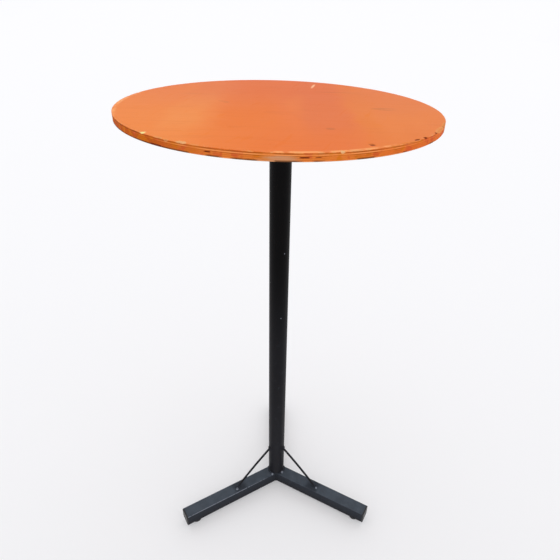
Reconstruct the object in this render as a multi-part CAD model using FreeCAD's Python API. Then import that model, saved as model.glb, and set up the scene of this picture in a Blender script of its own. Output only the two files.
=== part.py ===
# Bar-height pub table: a round plywood top on a welded steel stand with three legs.
# Millimetres, +Z up. The origin is on the floor, on the axis of the column.
# Two legs point forward (-Y), to the left and to the right, and the third points back (+Y).

import FreeCAD
import Part
import math
import os

Vector = FreeCAD.Vector
ORIGIN = Vector(0, 0, 0)
OUTWARD = Vector(1, 0, 0)
UP = Vector(0, 0, 1)

# Table
overall_height = 1100.0
top_diameter = 600.0
top_thickness = 13.0
top_edge_chamfer = 1.0

# Column, a round tube
tube_diameter = 45.0
tube_wall = 2.5

# Legs, square tubes mitred together under the column, evenly spread from the rear one, which points along +Y
leg_sides = ["rear", "left", "right"]
rear_leg_angle = 90
leg_width = 35.0
leg_height = 35.0
leg_wall = 2.0
leg_reach = 290.0
leg_corner_share = 1.5

# Braces, round bars between the column and the legs
brace_diameter = 6.0
brace_foot_radius = 131.0
brace_rise = 104.0

# Weld beads, and the gap at which the welded pieces are fitted up
leg_bead_size = 4.0
seam_bead_size = 3.0
plate_bead_size = 4.0
brace_bead_height = 2.4
brace_bead_length = 7.0
fit_up_gap = 0.05

# Steel plate between the column and the top
plate_width = 180.0
plate_thickness = 5.0
plate_corner_radius = 12.0
plate_edge_chamfer = 0.8
plate_hole_inset = 15.0
plate_hole_clearance = 0.3

# Pan-head wood screws through the plate into the top
screw_diameter = 5.0
screw_tip_length = 4.0
screw_cover = 4.0
screw_head_diameter = 9.6
screw_head_height = 3.4
screw_head_chamfer_share = 0.45
screw_pilot_clearance = 0.05

# Plastic inserts that close the ends of the legs
cap_flange_thickness = 4.0
insert_flange_chamfer = 1.2
insert_depth = 17.0
insert_wall = 2.0
insert_fin_count = 2
insert_fin_thickness = 1.4
insert_fin_height = 1.3
insert_clearance = 0.15

# Rivet nuts in the undersides of the legs
nut_setback = 28.0
nut_flange_diameter = 14.0
nut_flange_thickness = 1.0
nut_body_diameter = 11.0
nut_collar_diameter = 14.0
nut_length = 15.0
nut_hole_clearance = 0.05

# Levelling feet, each a threaded stud with its hexagon head moulded into a plastic pad
stud_diameter = 8.0
stud_headroom = 5.0
stud_end_chamfer = 1.0
stud_head_flats = 13.0
stud_head_height = 5.0
stud_clearance = 0.05
pad_height = 10.0
pad_base_diameter = 28.0
pad_base_height = 3.5
pad_base_chamfer = 1.0
pad_shoulder_height = 1.2
pad_hub_diameter = 22.0
pad_floor_thickness = 2.4
pad_groove_count = 12
pad_groove_width = 2.8
pad_groove_depth = 1.0

# How far a cutting shape runs past the piece that it cuts, and how closely an edge lies in a plane
overrun = 5.0
plane_tolerance = 0.001

# Heights, radii and widths that follow from the sizes above
leg_bottom = pad_height + nut_flange_thickness
leg_top = leg_bottom + leg_height
plate_top = overall_height - top_thickness
plate_bottom = plate_top - plate_thickness
tube_radius = tube_diameter / 2
tube_bore_radius = tube_radius - tube_wall
leg_corner_radius = leg_wall * leg_corner_share
leg_bore_corner_radius = leg_corner_radius - leg_wall
nut_radius = leg_reach - nut_setback
brace_head = Vector(tube_radius, 0, leg_top + brace_rise)
brace_foot = Vector(brace_foot_radius, 0, leg_top)


def edges_along(solid, direction):
    """The straight edges of a solid that run along a direction."""
    return [edge for edge in solid.Edges
            if isinstance(edge.Curve, Part.Line) and abs(edge.Curve.Direction.dot(direction)) > 0.5]


def edges_in_plane(solid, normal, distance):
    """The edges of a solid that lie in the plane at a distance along a normal."""
    return [edge for edge in solid.Edges
            if all(abs(point.dot(normal) - distance) < plane_tolerance for point in edge.discretize(3))]


def turned(shape, azimuth):
    """A copy of a shape drawn along +X, turned about the column to an azimuth."""
    copy = shape.copy()
    copy.rotate(ORIGIN, UP, azimuth)
    return copy


def shifted(shape, x, y):
    """A copy of a shape drawn on the column's axis, moved to a place beside it."""
    copy = shape.copy()
    copy.translate(Vector(x, y, 0))
    return copy


def flat_face(points):
    """A flat face with straight sides."""
    return Part.Face(Part.makePolygon(points + points[:1]))


def revolved(outline, angle=360):
    """An outline of (radius, height) points turned about the Z axis from +X, all round or by an angle."""
    return flat_face([Vector(radius, 0, height) for radius, height in outline]).revolve(ORIGIN, UP, angle)


def plain_bar(start, end, inset):
    """A bar with sharp edges, inset all round from a leg's section, between two radii."""
    width = leg_width - 2 * inset
    height = leg_height - 2 * inset
    return Part.makeBox(end - start, width, height, Vector(start, -width / 2, leg_bottom + inset))


def chamfered_bar(start, end, inset, corner_chamfer):
    """The same bar with its long edges chamfered."""
    bar = plain_bar(start, end, inset)
    return bar.makeChamfer(corner_chamfer, edges_along(bar, OUTWARD))


def square_bar(start, end, inset, corner_radius):
    """The same bar with its long edges rounded."""
    bar = plain_bar(start, end, inset)
    return bar.makeFillet(corner_radius, edges_along(bar, OUTWARD))


def round_bar(radius, bottom, top):
    """An upright cylinder on the column's axis between two heights."""
    return Part.makeCylinder(radius, top - bottom, Vector(0, 0, bottom))


def column_body(gap):
    """The column without its bore, made larger by a gap, which trims what is welded to it."""
    return round_bar(tube_radius + gap, leg_top, plate_bottom)


def leg_body(gap):
    """A leg without its bore, made larger by a gap, from the column's axis out to its end."""
    return square_bar(0, leg_reach, -gap, leg_corner_radius + gap)


def leg_wedge():
    """The wedge of space, from the column's axis outwards, that a leg keeps to between its neighbours."""
    half_angle = math.pi / len(leg_sides)
    tip = fit_up_gap / 2 / math.sin(half_angle)
    half_spread = (leg_reach - tip) * math.tan(half_angle)
    wedge = flat_face([Vector(tip, 0, leg_bottom), Vector(leg_reach, -half_spread, leg_bottom),
                       Vector(leg_reach, half_spread, leg_bottom)])
    return wedge.extrude(UP * leg_height)


def brace_body(gap):
    """A brace made thicker by a gap and run on past the column's face and the top of the leg."""
    along = (brace_foot - brace_head).normalize()
    length = (brace_foot - brace_head).Length + 2 * brace_diameter
    return Part.makeCylinder(brace_diameter / 2 + gap, length, brace_head - along * brace_diameter, along)


def screw_places():
    """The centres of the four screws, near the corners of the plate."""
    offset = plate_width / 2 - plate_hole_inset
    return [(offset * x, offset * y) for x in (-1, 1) for y in (-1, 1)]


def screw_shank(clearance):
    """The pointed shank of a screw on the Z axis, made larger by a clearance."""
    radius = screw_diameter / 2 + clearance
    tip = overall_height - screw_cover + clearance
    return revolved([(0, plate_bottom), (radius, plate_bottom), (radius, tip - screw_tip_length), (0, tip)])


def make_table_top():
    """A plywood disc with broken rims and pilot holes for the screws."""
    disc = round_bar(top_diameter / 2, plate_top, overall_height)
    rims = [edge for edge in disc.Edges if isinstance(edge.Curve, Part.Circle)]
    disc = disc.makeChamfer(top_edge_chamfer, rims)
    return disc.cut([shifted(screw_shank(screw_pilot_clearance), x, y) for x, y in screw_places()])


def make_top_plate():
    """A square steel plate with round corners, a broken lower rim and four screw holes."""
    plate = Part.makeBox(plate_width, plate_width, plate_thickness,
                         Vector(-plate_width / 2, -plate_width / 2, plate_bottom))
    plate = plate.makeFillet(plate_corner_radius, edges_along(plate, UP))
    plate = plate.makeChamfer(plate_edge_chamfer, edges_in_plane(plate, UP, plate_bottom))
    hole = round_bar(screw_diameter / 2 + plate_hole_clearance, plate_bottom - overrun, plate_top + overrun)
    return plate.cut([shifted(hole, x, y) for x, y in screw_places()])


def make_screw():
    """One screw on the Z axis: shank and pan head."""
    head_bottom = plate_bottom - screw_head_height
    head = round_bar(screw_head_diameter / 2, head_bottom, plate_bottom)
    chamfer = screw_head_height * screw_head_chamfer_share
    head = head.makeChamfer(chamfer, edges_in_plane(head, UP, head_bottom))
    return head.fuse(screw_shank(0))


def make_top_screws():
    """The four screws, as separate solids."""
    return Part.makeCompound([shifted(make_screw(), x, y) for x, y in screw_places()])


def make_column_tube():
    """The round tube that stands on the joined legs and carries the plate."""
    return column_body(0).cut(round_bar(tube_bore_radius, leg_top - overrun, plate_bottom + overrun))


def make_plate_weld():
    """The bead with a flat face round the head of the column, under the plate."""
    inner = tube_radius + fit_up_gap
    return revolved([(inner, plate_bottom - plate_bead_size), (inner + plate_bead_size, plate_bottom),
                     (inner, plate_bottom)])


def make_leg():
    """A leg along +X: mitred to its neighbours, bored through, with a hole for its rivet nut."""
    bore = square_bar(0, leg_reach + overrun, leg_wall, leg_bore_corner_radius)
    hole_radius = nut_body_diameter / 2 + nut_hole_clearance
    hole = round_bar(hole_radius, leg_bottom - overrun, leg_bottom + leg_wall)
    return leg_body(0).common(leg_wedge()).cut([bore, shifted(hole, nut_radius, 0)])


def make_foot_bead():
    """The flat-faced bead round the foot of the column, across the flat of a leg's top."""
    inner = tube_radius + fit_up_gap
    half_angle = math.degrees(math.asin((leg_width / 2 - leg_corner_radius) / inner))
    bead = revolved([(inner, leg_top), (inner + leg_bead_size, leg_top), (inner, leg_top + leg_bead_size)],
                    2 * half_angle)
    return turned(bead, -half_angle)


def make_seam_bead():
    """The upright bead in the corner between a leg and the next one round."""
    spacing = 2 * math.pi / len(leg_sides)
    onward = Vector(math.cos(spacing), math.sin(spacing), 0)
    side = leg_width / 2 + fit_up_gap
    corner = Vector(side / math.tan(spacing / 2), side, leg_bottom)
    section = flat_face([corner, corner + OUTWARD * seam_bead_size, corner + onward * seam_bead_size])
    return section.extrude(UP * leg_height)


def make_leg_welds():
    """The bead between a leg and the column, and the seam between that leg and the next."""
    return Part.makeCompound([make_foot_bead(), make_seam_bead()])


def make_brace():
    """A round bar in the leg's plane, trimmed to the column's face and to the top of the leg."""
    return brace_body(0).cut([column_body(fit_up_gap), leg_body(fit_up_gap)])


def make_brace_bead(end, inward):
    """A bead round one end of a brace, a cone that thins out to the bar's surface away from that end."""
    bar_radius = brace_diameter / 2
    height = brace_bead_length + brace_diameter
    root_radius = bar_radius + brace_bead_height * height / brace_bead_length
    bead = Part.makeCone(root_radius, bar_radius, height, end - inward * brace_diameter, inward)
    return bead.cut([column_body(fit_up_gap), leg_body(fit_up_gap), brace_body(fit_up_gap)])


def make_brace_welds():
    """The beads at the two ends of a brace."""
    along = (brace_foot - brace_head).normalize()
    return Part.makeCompound([make_brace_bead(brace_head, along), make_brace_bead(brace_foot, -along)])


def make_end_cap():
    """A ribbed cap pushed into the open end of a leg, with a chamfered flange over the cut."""
    face = leg_reach + cap_flange_thickness
    flange = square_bar(leg_reach, face, 0, leg_corner_radius)
    flange = flange.makeChamfer(insert_flange_chamfer, edges_in_plane(flange, OUTWARD, face))
    fin_inset = leg_wall + insert_clearance
    core_inset = fin_inset + insert_fin_height
    core = plain_bar(leg_reach - insert_depth, leg_reach, core_inset)
    pitch = insert_depth / insert_fin_count
    starts = [leg_reach - pitch * (index + 1) for index in range(insert_fin_count)]
    fins = [chamfered_bar(start, start + insert_fin_thickness, fin_inset, leg_bore_corner_radius)
            for start in starts]
    hollow = plain_bar(leg_reach - insert_depth - overrun, leg_reach, core_inset + insert_wall)
    return flange.fuse([core] + fins).cut(hollow)


def make_foot_nut():
    """A rivet nut: its flange under the leg, its body swollen above the wall."""
    bore = stud_diameter / 2 + stud_clearance
    flange_bottom = leg_bottom - nut_flange_thickness
    wall_top = leg_bottom + leg_wall
    nut_top = leg_bottom + nut_length
    body = nut_body_diameter / 2
    nut = revolved([(bore, flange_bottom), (nut_flange_diameter / 2, flange_bottom),
                    (nut_flange_diameter / 2, leg_bottom), (body, leg_bottom), (body, wall_top),
                    (nut_collar_diameter / 2, wall_top), (body, nut_top), (bore, nut_top)])
    return shifted(nut, nut_radius, 0)


def make_foot_stud():
    """A stud with a hexagon head, its upper end in the leg."""
    top = leg_top - leg_wall - stud_headroom
    shank = round_bar(stud_diameter / 2, pad_floor_thickness, top)
    shank = shank.makeChamfer(stud_end_chamfer, edges_in_plane(shank, UP, top))
    across = stud_head_flats / math.sqrt(3)
    turns = [math.radians(60 * index) for index in range(6)]
    corners = [Vector(across * math.cos(turn), across * math.sin(turn), pad_floor_thickness)
               for turn in turns]
    head = flat_face(corners).extrude(UP * stud_head_height)
    return shifted(shank.fuse(head), nut_radius, 0)


def make_foot_pad():
    """A round pad with a grooved hub, moulded over the head of the stud."""
    base = pad_base_diameter / 2
    hub = pad_hub_diameter / 2
    shoulder = pad_base_height + pad_shoulder_height
    pad = revolved([(0, 0), (base - pad_base_chamfer, 0), (base, pad_base_chamfer), (base, pad_base_height),
                    (hub, shoulder), (hub, pad_height), (0, pad_height)])
    groove = flat_face([Vector(hub - pad_groove_depth, 0, shoulder),
                        Vector(hub + pad_groove_depth, pad_groove_width, shoulder),
                        Vector(hub + pad_groove_depth, -pad_groove_width, shoulder)])
    groove = groove.extrude(UP * (pad_height - shoulder + overrun))
    grooves = [turned(groove, 360 * index / pad_groove_count) for index in range(pad_groove_count)]
    return shifted(pad.cut(grooves), nut_radius, 0).cut(make_foot_stud())


def make_nodes():
    """Every piece of the table by name, each in its place."""
    nodes = {
        "table_top": make_table_top(),
        "top_plate": make_top_plate(),
        "top_screws": make_top_screws(),
        "plate_weld": make_plate_weld(),
        "column_tube": make_column_tube(),
    }
    spokes = {
        "leg": make_leg(),
        "leg_welds": make_leg_welds(),
        "brace": make_brace(),
        "brace_welds": make_brace_welds(),
        "end_cap": make_end_cap(),
        "foot_nut": make_foot_nut(),
        "foot_stud": make_foot_stud(),
        "foot_pad": make_foot_pad(),
    }
    for index, side in enumerate(leg_sides):
        for piece, shape in spokes.items():
            nodes[piece + "_" + side] = turned(shape, rear_leg_angle + 360 * index / len(leg_sides))
    return nodes


os.makedirs("parts", exist_ok=True)
for name, shape in make_nodes().items():
    shape.exportStep(os.path.join("parts", name + ".step"))
    print(name, len(shape.Solids), "solids", shape.isValid(), round(shape.Volume, 1), "mm3")
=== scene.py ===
import bmesh
import bpy
import math
import random
import numpy as np
from mathutils import Matrix, Vector


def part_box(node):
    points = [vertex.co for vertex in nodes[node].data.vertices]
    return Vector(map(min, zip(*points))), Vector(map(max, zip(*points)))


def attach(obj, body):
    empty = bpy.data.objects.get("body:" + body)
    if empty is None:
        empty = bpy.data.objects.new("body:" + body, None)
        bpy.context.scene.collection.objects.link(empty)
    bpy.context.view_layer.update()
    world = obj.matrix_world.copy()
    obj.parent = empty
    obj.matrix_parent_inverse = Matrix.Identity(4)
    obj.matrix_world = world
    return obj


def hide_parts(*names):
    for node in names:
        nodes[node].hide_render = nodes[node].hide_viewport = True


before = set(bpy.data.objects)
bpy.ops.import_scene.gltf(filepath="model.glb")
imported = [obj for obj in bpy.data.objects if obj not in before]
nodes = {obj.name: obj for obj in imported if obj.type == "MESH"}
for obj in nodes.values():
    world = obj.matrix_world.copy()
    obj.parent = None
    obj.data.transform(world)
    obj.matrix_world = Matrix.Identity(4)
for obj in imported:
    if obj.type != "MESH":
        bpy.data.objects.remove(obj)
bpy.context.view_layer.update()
mm = 0.001  # dictionaries give lengths in mm, if no note says otherwise
spokes = {"rear": 0, "left": 120, "right": 240}  # degrees from the rear leg, which points along +Y
print("frame loaded with", len(nodes), "nodes")


# modelling by hand, in small steps

def choose(*pieces):
    # the last one is active
    bpy.ops.object.select_all(action="DESELECT")
    for piece in pieces:
        piece.select_set(True)
    bpy.context.view_layer.objects.active = pieces[-1]


def namePiece(name):
    # the active object gets its name, and its place goes into its mesh
    piece = bpy.context.object
    piece.name = piece.data.name = name
    bpy.ops.object.transform_apply()
    return piece


def startPiece(name):
    piece = namePiece(name)
    bpy.ops.object.mode_set(mode="EDIT")
    bpy.ops.mesh.select_all(action="SELECT")
    return piece


def pick(kind, test):
    # selects the vertices, edges or faces that pass a test
    bpy.ops.mesh.select_mode(type=kind)
    bpy.ops.mesh.select_all(action="DESELECT")
    data = bpy.context.object.data
    mesh = bmesh.from_edit_mesh(data)
    for item in {"VERT": mesh.verts, "EDGE": mesh.edges, "FACE": mesh.faces}[kind]:
        item.select = bool(test(item))
    mesh.select_flush_mode()
    bmesh.update_edit_mesh(data)


def middle(edge):
    return (edge.verts[0].co + edge.verts[1].co) / 2


def extrude(x, y, z):
    bpy.ops.mesh.extrude_region_move(TRANSFORM_OT_translate={"value": (x, y, z)})


def endPiece(inside=False):
    bpy.ops.mesh.select_mode(type="VERT")
    bpy.ops.mesh.select_all(action="SELECT")
    bpy.ops.mesh.remove_doubles(threshold=0.001 * mm)
    bpy.ops.mesh.normals_make_consistent(inside=inside)
    bpy.ops.object.mode_set(mode="OBJECT")


def applyModifier(piece, kind, settings):
    modifier = piece.modifiers.new(kind.lower(), kind)
    for name, value in settings.items():
        setattr(modifier, name, value)
    bpy.context.view_layer.objects.active = piece
    bpy.ops.object.modifier_apply(modifier=modifier.name)


def cutAway(piece, cutter):
    applyModifier(piece, "BOOLEAN", {"operation": "DIFFERENCE", "solver": "EXACT", "object": cutter})
    bpy.data.objects.remove(cutter)


def lathe(name, outline, steps):
    # a line of (radius, height) points is drawn by extruding one vertex, then spun about the Z axis
    bpy.ops.mesh.primitive_plane_add(size=mm, location=(outline[0][0], 0, outline[0][1]))
    piece = startPiece(name)
    bpy.ops.mesh.merge(type="CENTER")
    for (radius, height), (nextRadius, nextHeight) in zip(outline, outline[1:]):
        extrude(nextRadius - radius, 0, nextHeight - height)
    bpy.ops.mesh.select_all(action="SELECT")
    bpy.ops.mesh.spin(steps=steps, angle=2 * math.pi, center=(0, 0, 0), axis=(0, 0, 1))
    return piece


def drawRings(name, outline, segments):
    # the same for a large round: a circle is extruded ring by ring, and scaled
    radius, height = outline[0]
    bpy.ops.mesh.primitive_circle_add(vertices=segments, radius=radius, location=(0, 0, height))
    piece = startPiece(name)
    for nextRadius, nextHeight in outline[1:]:
        extrude(0, 0, nextHeight - height)
        bpy.ops.transform.resize(value=(nextRadius / radius, nextRadius / radius, 1))
        radius, height = nextRadius, nextHeight
    return piece


def smoothShade(piece, angle=35):
    choose(piece)
    bpy.ops.object.shade_smooth_by_angle(angle=math.radians(angle))


def twinOf(piece, name, turn, shift=(0, 0, 0)):
    # a copy with its own mesh, turned about the Z axis and then moved
    twin = piece.copy()
    twin.data = piece.data.copy()
    twin.name = twin.data.name = name
    bpy.context.scene.collection.objects.link(twin)
    choose(twin)
    twin.matrix_world = Matrix.Translation(shift) @ Matrix.Rotation(math.radians(turn), 4, "Z")
    bpy.ops.object.transform_apply()
    return twin


def joinAll(parts, name):
    choose(*parts)
    bpy.ops.object.join()
    return namePiece(name)


def fitPiece(piece, body, node, finish):
    piece.data.materials.clear()
    piece.data.materials.append(finish)
    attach(piece, body)
    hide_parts(node)


def fitSpokes(piece, name, node, finish, foot=False):
    # the rear piece, and its copies at the other two legs
    for side, turn in spokes.items():
        one = piece if side == "rear" else twinOf(piece, name + side.capitalize(), turn)
        fitPiece(one, "foot_" + side if foot else "stand", node + "_" + side, finish)


def setAttribute(piece, name, values):
    attribute = piece.data.attributes.new(name, "FLOAT", "POINT")
    attribute.data.foreach_set("value", np.asarray(values, dtype=np.float32))


# shader sums

class Wire:
    # a socket of a node tree that can be used in sums
    def __init__(self, tree, socket=None):
        self.tree = tree
        self.socket = socket

    def plug(self, node, sockets):
        for name, value in sockets.items():
            if isinstance(value, Wire):
                self.tree.links.new(value.socket, node.inputs[name])
            else:
                node.inputs[name].default_value = value

    def make(self, kind, settings=None, sockets=None, out=0):
        node = self.tree.nodes.new(kind)
        for name, value in (settings or {}).items():
            setattr(node, name, value)
        self.plug(node, sockets or {})
        return Wire(self.tree, node.outputs[out])

    def sum(self, operation, first, second):
        return self.make("ShaderNodeMath", {"operation": operation}, {0: first, 1: second})

    def __add__(self, other):
        return self.sum("ADD", self, other)

    def __radd__(self, other):
        return self.sum("ADD", other, self)

    def __sub__(self, other):
        return self.sum("SUBTRACT", self, other)

    def __rsub__(self, other):
        return self.sum("SUBTRACT", other, self)

    def __mul__(self, other):
        return self.sum("MULTIPLY", self, other)

    def __rmul__(self, other):
        return self.sum("MULTIPLY", other, self)

    def __truediv__(self, other):
        return self.sum("DIVIDE", self, other)

    def __abs__(self):
        return self.sum("ABSOLUTE", self, 0.0)


def newFinish(name):
    finish = bpy.data.materials.new(name)
    finish.use_nodes = True
    root = Wire(finish.node_tree)
    place = root.make("ShaderNodeTexCoord", out="Object")
    return finish, root, finish.node_tree.nodes["Principled BSDF"], place


def axes(place):
    return [place.make("ShaderNodeSeparateXYZ", None, {0: place}, out=axis) for axis in "XYZ"]


def stretch(place, x, y, z):
    return place.make("ShaderNodeVectorMath", {"operation": "MULTIPLY"}, {0: place, 1: (x, y, z)})


def lengthOf(place):
    return place.make("ShaderNodeVectorMath", {"operation": "LENGTH"}, {0: place}, out="Value")


def cloud(place, scale, detail=2.0, rough=0.5, warp=0.0):
    return place.make("ShaderNodeTexNoise", None, {"Vector": place, "Scale": scale, "Detail": detail,
                                                   "Roughness": rough, "Distortion": warp})


def step(value, low, high):
    # eases from 0 at low to 1 at high
    return value.make("ShaderNodeMapRange", {"interpolation_type": "SMOOTHSTEP"},
                      {"Value": value, "From Min": low, "From Max": high})


def tint(factor, first, second):
    return factor.make("ShaderNodeMix", {"data_type": "RGBA"}, {0: factor, 6: first, 7: second}, out=2)


def larger(first, second):
    return first.sum("MAXIMUM", first, second)


def attributeOf(place, name):
    return place.make("ShaderNodeAttribute", {"attribute_name": name}, out="Fac")


def relief(height, strength, distance):
    return height.make("ShaderNodeBump", None, {"Strength": strength, "Distance": distance, "Height": height})


def hairlines(place, scale, width, turn):
    # thin wandering scratches: the zero line of a stretched noise
    turned = place.make("ShaderNodeMapping", None, {"Vector": place, "Rotation": (0, 0, turn)})
    wave = cloud(stretch(turned, 1.0, 0.07, 1.0), scale, 1.0, 0.4)
    return 1 - step(abs(wave - 0.5), 0.0, width)


# the round plywood board

boardLook = {
    "segments": 1200,
    "plies": (1.2, 1.4, 1.9, 1.2, 1.4, 1.3, 1.4, 1.2, 2.0),  # mm, from the top
    "plyShade": (0.0, 0.85, 0.0, 0.60, 0.08, 0.30, 0.04, 0.38, 0.0),  # how dark each ply's edge is
    "arris": 1.0,  # mm, rounding of both rims
    "glueGroove": 0.16,  # mm deep
    "crossPlyInset": 0.10,  # mm, the cross plies wear back a little
    # mm in from the rim, the rings of points on the face and on the underside
    "faceRings": (60, 40, 26, 17, 12, 9, 7, 5.5, 4.4, 3.5, 2.7, 2.0, 1.5),
    "underRings": (1.6, 2.6, 4.5, 8, 20, 60),
    "arrisTurns": (0, 22, 45, 68, 90),  # degrees, the points of each rounding
    "plyShares": (0.08, 0.3, 0.5, 0.7, 0.92),  # the points down each ply
    # degrees round the rim, half length, reach inwards and drop in mm, pale 0 to 1
    "chips": ((-133.5, 4.8, 8.0, 1.6, 1.0), (-126.4, 9.0, 5.0, 1.2, 0.38), (-123.4, 5.0, 2.4, 4.0, 0.34),
              (-118.3, 9.0, 8.0, 1.8, 0.62), (-114.0, 8.0, 3.6, 1.0, 0.32), (-74.0, 3.4, 6.5, 3.0, 0.79),
              (-76.6, 2.6, 3.0, 1.0, 0.50), (-70.0, 12.0, 4.0, 1.3, 0.40), (-66.2, 4.0, 3.4, 1.2, 0.40),
              (-57.0, 12.0, 4.4, 2.2, 0.18), (-51.0, 18.0, 6.0, 2.6, 0.20), (-29.0, 25.0, 9.0, 4.6, 0.38),
              (-21.5, 20.0, 6.5, 3.8, 0.34), (-98.5, 4.0, 2.4, 1.0, 0.36), (-86.0, 6.0, 2.2, 0.9, 0.40)),
    # the same, filled with dirt; one with a width as its last value is a dent in the face
    "gouges": ((-62.6, 4.4, 17.0, 0.7, 5.0), (-46.4, 6.5, 3.6, 0.6, 2.8), (-42.3, 4.4, 5.0, 1.8, 0.0),
               (-34.6, 3.0, 4.0, 1.6, 0.0), (-24.6, 2.6, 3.4, 1.8, 0.0)),
    # degrees, half length, depth below the top, height, how deep, in mm
    "voids": ((-110.2, 4.4, 6.8, 1.5, 2.2), (-84.3, 6.6, 6.9, 1.9, 1.8), (-80.6, 4.4, 6.7, 0.9, 0.8),
              (-127.6, 12.0, 11.3, 2.6, 1.4), (-52.6, 5.0, 11.6, 1.0, 1.0)),
    # small chips spread over the whole rim: half length, reach and drop in mm, pale
    "nicks": 46, "nickHalf": (1.4, 4.5), "nickSize": (0.8, 1.5), "nickPale": (0.15, 0.6),
    # small voids away from the front: degrees, then half length, height and how deep in mm
    "hollows": 14, "hollowSpan": (-20, 220), "hollowHalf": (1.5, 5.0), "hollowHigh": (0.8, 1.8),
    "hollowDeep": (0.8, 2.2), "hollowLevels": (5.1, 7.8, 10.4),
    "seed": 11,
}


def boardOutline(radius, top, bottom):
    look = boardLook
    arris = look["arris"] * mm
    edge = [(radius - inset * mm, top) for inset in look["faceRings"]]
    for turn in look["arrisTurns"]:
        swing = math.radians(turn)
        edge.append((radius - arris + arris * math.sin(swing), top - arris + arris * math.cos(swing)))
    depth = 0.0
    for index, ply in enumerate(look["plies"]):
        inset = look["crossPlyInset"] * mm if index % 2 else 0.0
        for share in look["plyShares"]:
            edge.append((radius - inset, top - (depth + ply * share) * mm))
        depth += ply
        edge.append((radius - inset - look["glueGroove"] * mm, top - depth * mm))
    # the roundings take the place of the plies' own points
    edge = [point for point in edge if point[1] > bottom + arris and (
        point[1] < top - arris - 0.05 * mm or point[0] < radius - arris or point[1] >= top - arris)]
    for turn in reversed(look["arrisTurns"]):
        swing = math.radians(turn)
        edge.append((radius - arris + arris * math.sin(swing), bottom + arris - arris * math.cos(swing)))
    edge += [(radius - inset * mm, bottom) for inset in look["underRings"]]
    return edge


def wearBoard(piece, radius, top, bottom):
    look = boardLook
    draw = random.Random(look["seed"])
    count = len(piece.data.vertices)
    points = np.empty(count * 3)
    piece.data.vertices.foreach_get("co", points)
    points = points.reshape(count, 3)
    angle = np.arctan2(points[:, 1], points[:, 0])
    inset = (radius - np.hypot(points[:, 0], points[:, 1])) / mm
    depth = (top - points[:, 2]) / mm
    thick = (top - bottom) / mm
    pale, dirt = np.zeros(count), np.zeros(count)

    def along(degrees):
        # mm along the rim from a place on it
        gap = (angle - math.radians(degrees) + math.pi) % (2 * math.pi) - math.pi
        return gap * radius / mm

    def ragged(run, half, phase):
        hump = np.sqrt(np.clip(1 - (run / half) ** 2, 0, 1))
        return hump * (0.84 + 0.11 * np.sin(2.1 * run + phase) + 0.09 * np.sin(4.7 * run + 3 * phase))

    def chip(degrees, half, reach, drop, under=False):
        # the arris is knocked back to a slanting facet
        run = along(degrees)
        shape = ragged(run, half, degrees)
        below = thick - depth if under else depth
        near = (shape > 0.02) & (inset < reach + 1) & (below < drop + 1)
        share = inset / np.maximum(reach * shape, 0.01) + below / np.maximum(drop * shape, 0.01)
        share = np.where(near, share, 9)
        hit = share < 1
        move = np.where(hit, (1 - share) / 2, 0)
        inset[:] += move * reach * shape
        depth[:] += move * drop * shape * (-1 if under else 1)
        return np.clip((1.35 - share) / 0.5, 0, 1)

    def pit(degrees, half, level, high, deep):
        run = along(degrees)
        shape = ragged(run, half, degrees) * np.clip(1 - (2 * (depth - level) / high) ** 2, 0, 1)
        shape = np.where((inset < 1) & (depth > 1.2), shape, 0)
        inset[:] += deep * np.sqrt(shape)
        return np.clip(shape * 3, 0, 1)

    for degrees, half, reach, drop, tone in look["chips"]:
        pale = np.maximum(pale, tone * chip(degrees, half, reach, drop))
    for degrees, half, reach, drop, width in look["gouges"]:
        if width:
            run = along(degrees)
            bowl = np.clip(1 - (run / half) ** 2 - ((inset - reach) / width) ** 2, 0, 1) * (depth < 0.5)
            depth += drop * np.sqrt(bowl)
            dirt = np.maximum(dirt, np.clip(bowl * 4, 0, 1))
        else:
            dirt = np.maximum(dirt, chip(degrees, half, reach, drop))
    for degrees, half, level, high, deep in look["voids"]:
        dirt = np.maximum(dirt, pit(degrees, half, level, high, deep))
    for index in range(look["nicks"]):
        degrees = draw.uniform(-180, 180)
        half = draw.uniform(*look["nickHalf"])
        reach, drop = draw.uniform(*look["nickSize"]), draw.uniform(*look["nickSize"])
        tone = draw.uniform(*look["nickPale"])
        pale = np.maximum(pale, tone * chip(degrees, half, reach, drop, under=index % 3 == 0))
    for index in range(look["hollows"]):
        degrees = draw.uniform(*look["hollowSpan"])
        half, high = draw.uniform(*look["hollowHalf"]), draw.uniform(*look["hollowHigh"])
        level, deep = look["hollowLevels"][index % 3], draw.uniform(*look["hollowDeep"])
        dirt = np.maximum(dirt, pit(degrees, half, level, high, deep))

    flat = radius - inset * mm
    points[:, 0], points[:, 1] = flat * np.cos(angle), flat * np.sin(angle)
    points[:, 2] = np.clip(top - depth * mm, bottom, top)
    piece.data.vertices.foreach_set("co", points.ravel())
    piece.data.update()
    setAttribute(piece, "pale", pale)
    setAttribute(piece, "dirt", dirt)


def makeBoard(finish):
    low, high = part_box("table_top")
    radius, top, bottom = high.x, high.z, low.z
    outline = boardOutline(radius, top, bottom)
    piece = drawRings("tableTop", outline, boardLook["segments"])
    endRing = outline[0][0] + 0.1 * mm
    for level in (top, bottom):
        # the middle of each face is filled in
        pick("EDGE", lambda edge: abs(middle(edge).z - level) < 0.01 * mm
             and middle(edge).xy.length < endRing)
        bpy.ops.mesh.edge_face_add()
    endPiece(inside=True)  # the glue grooves turn the test for the outside round
    wearBoard(piece, radius, top, bottom)
    smoothShade(piece, 40)
    fitPiece(piece, "stand", "table_top", finish)
    print("board:", len(piece.data.polygons), "faces")


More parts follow.
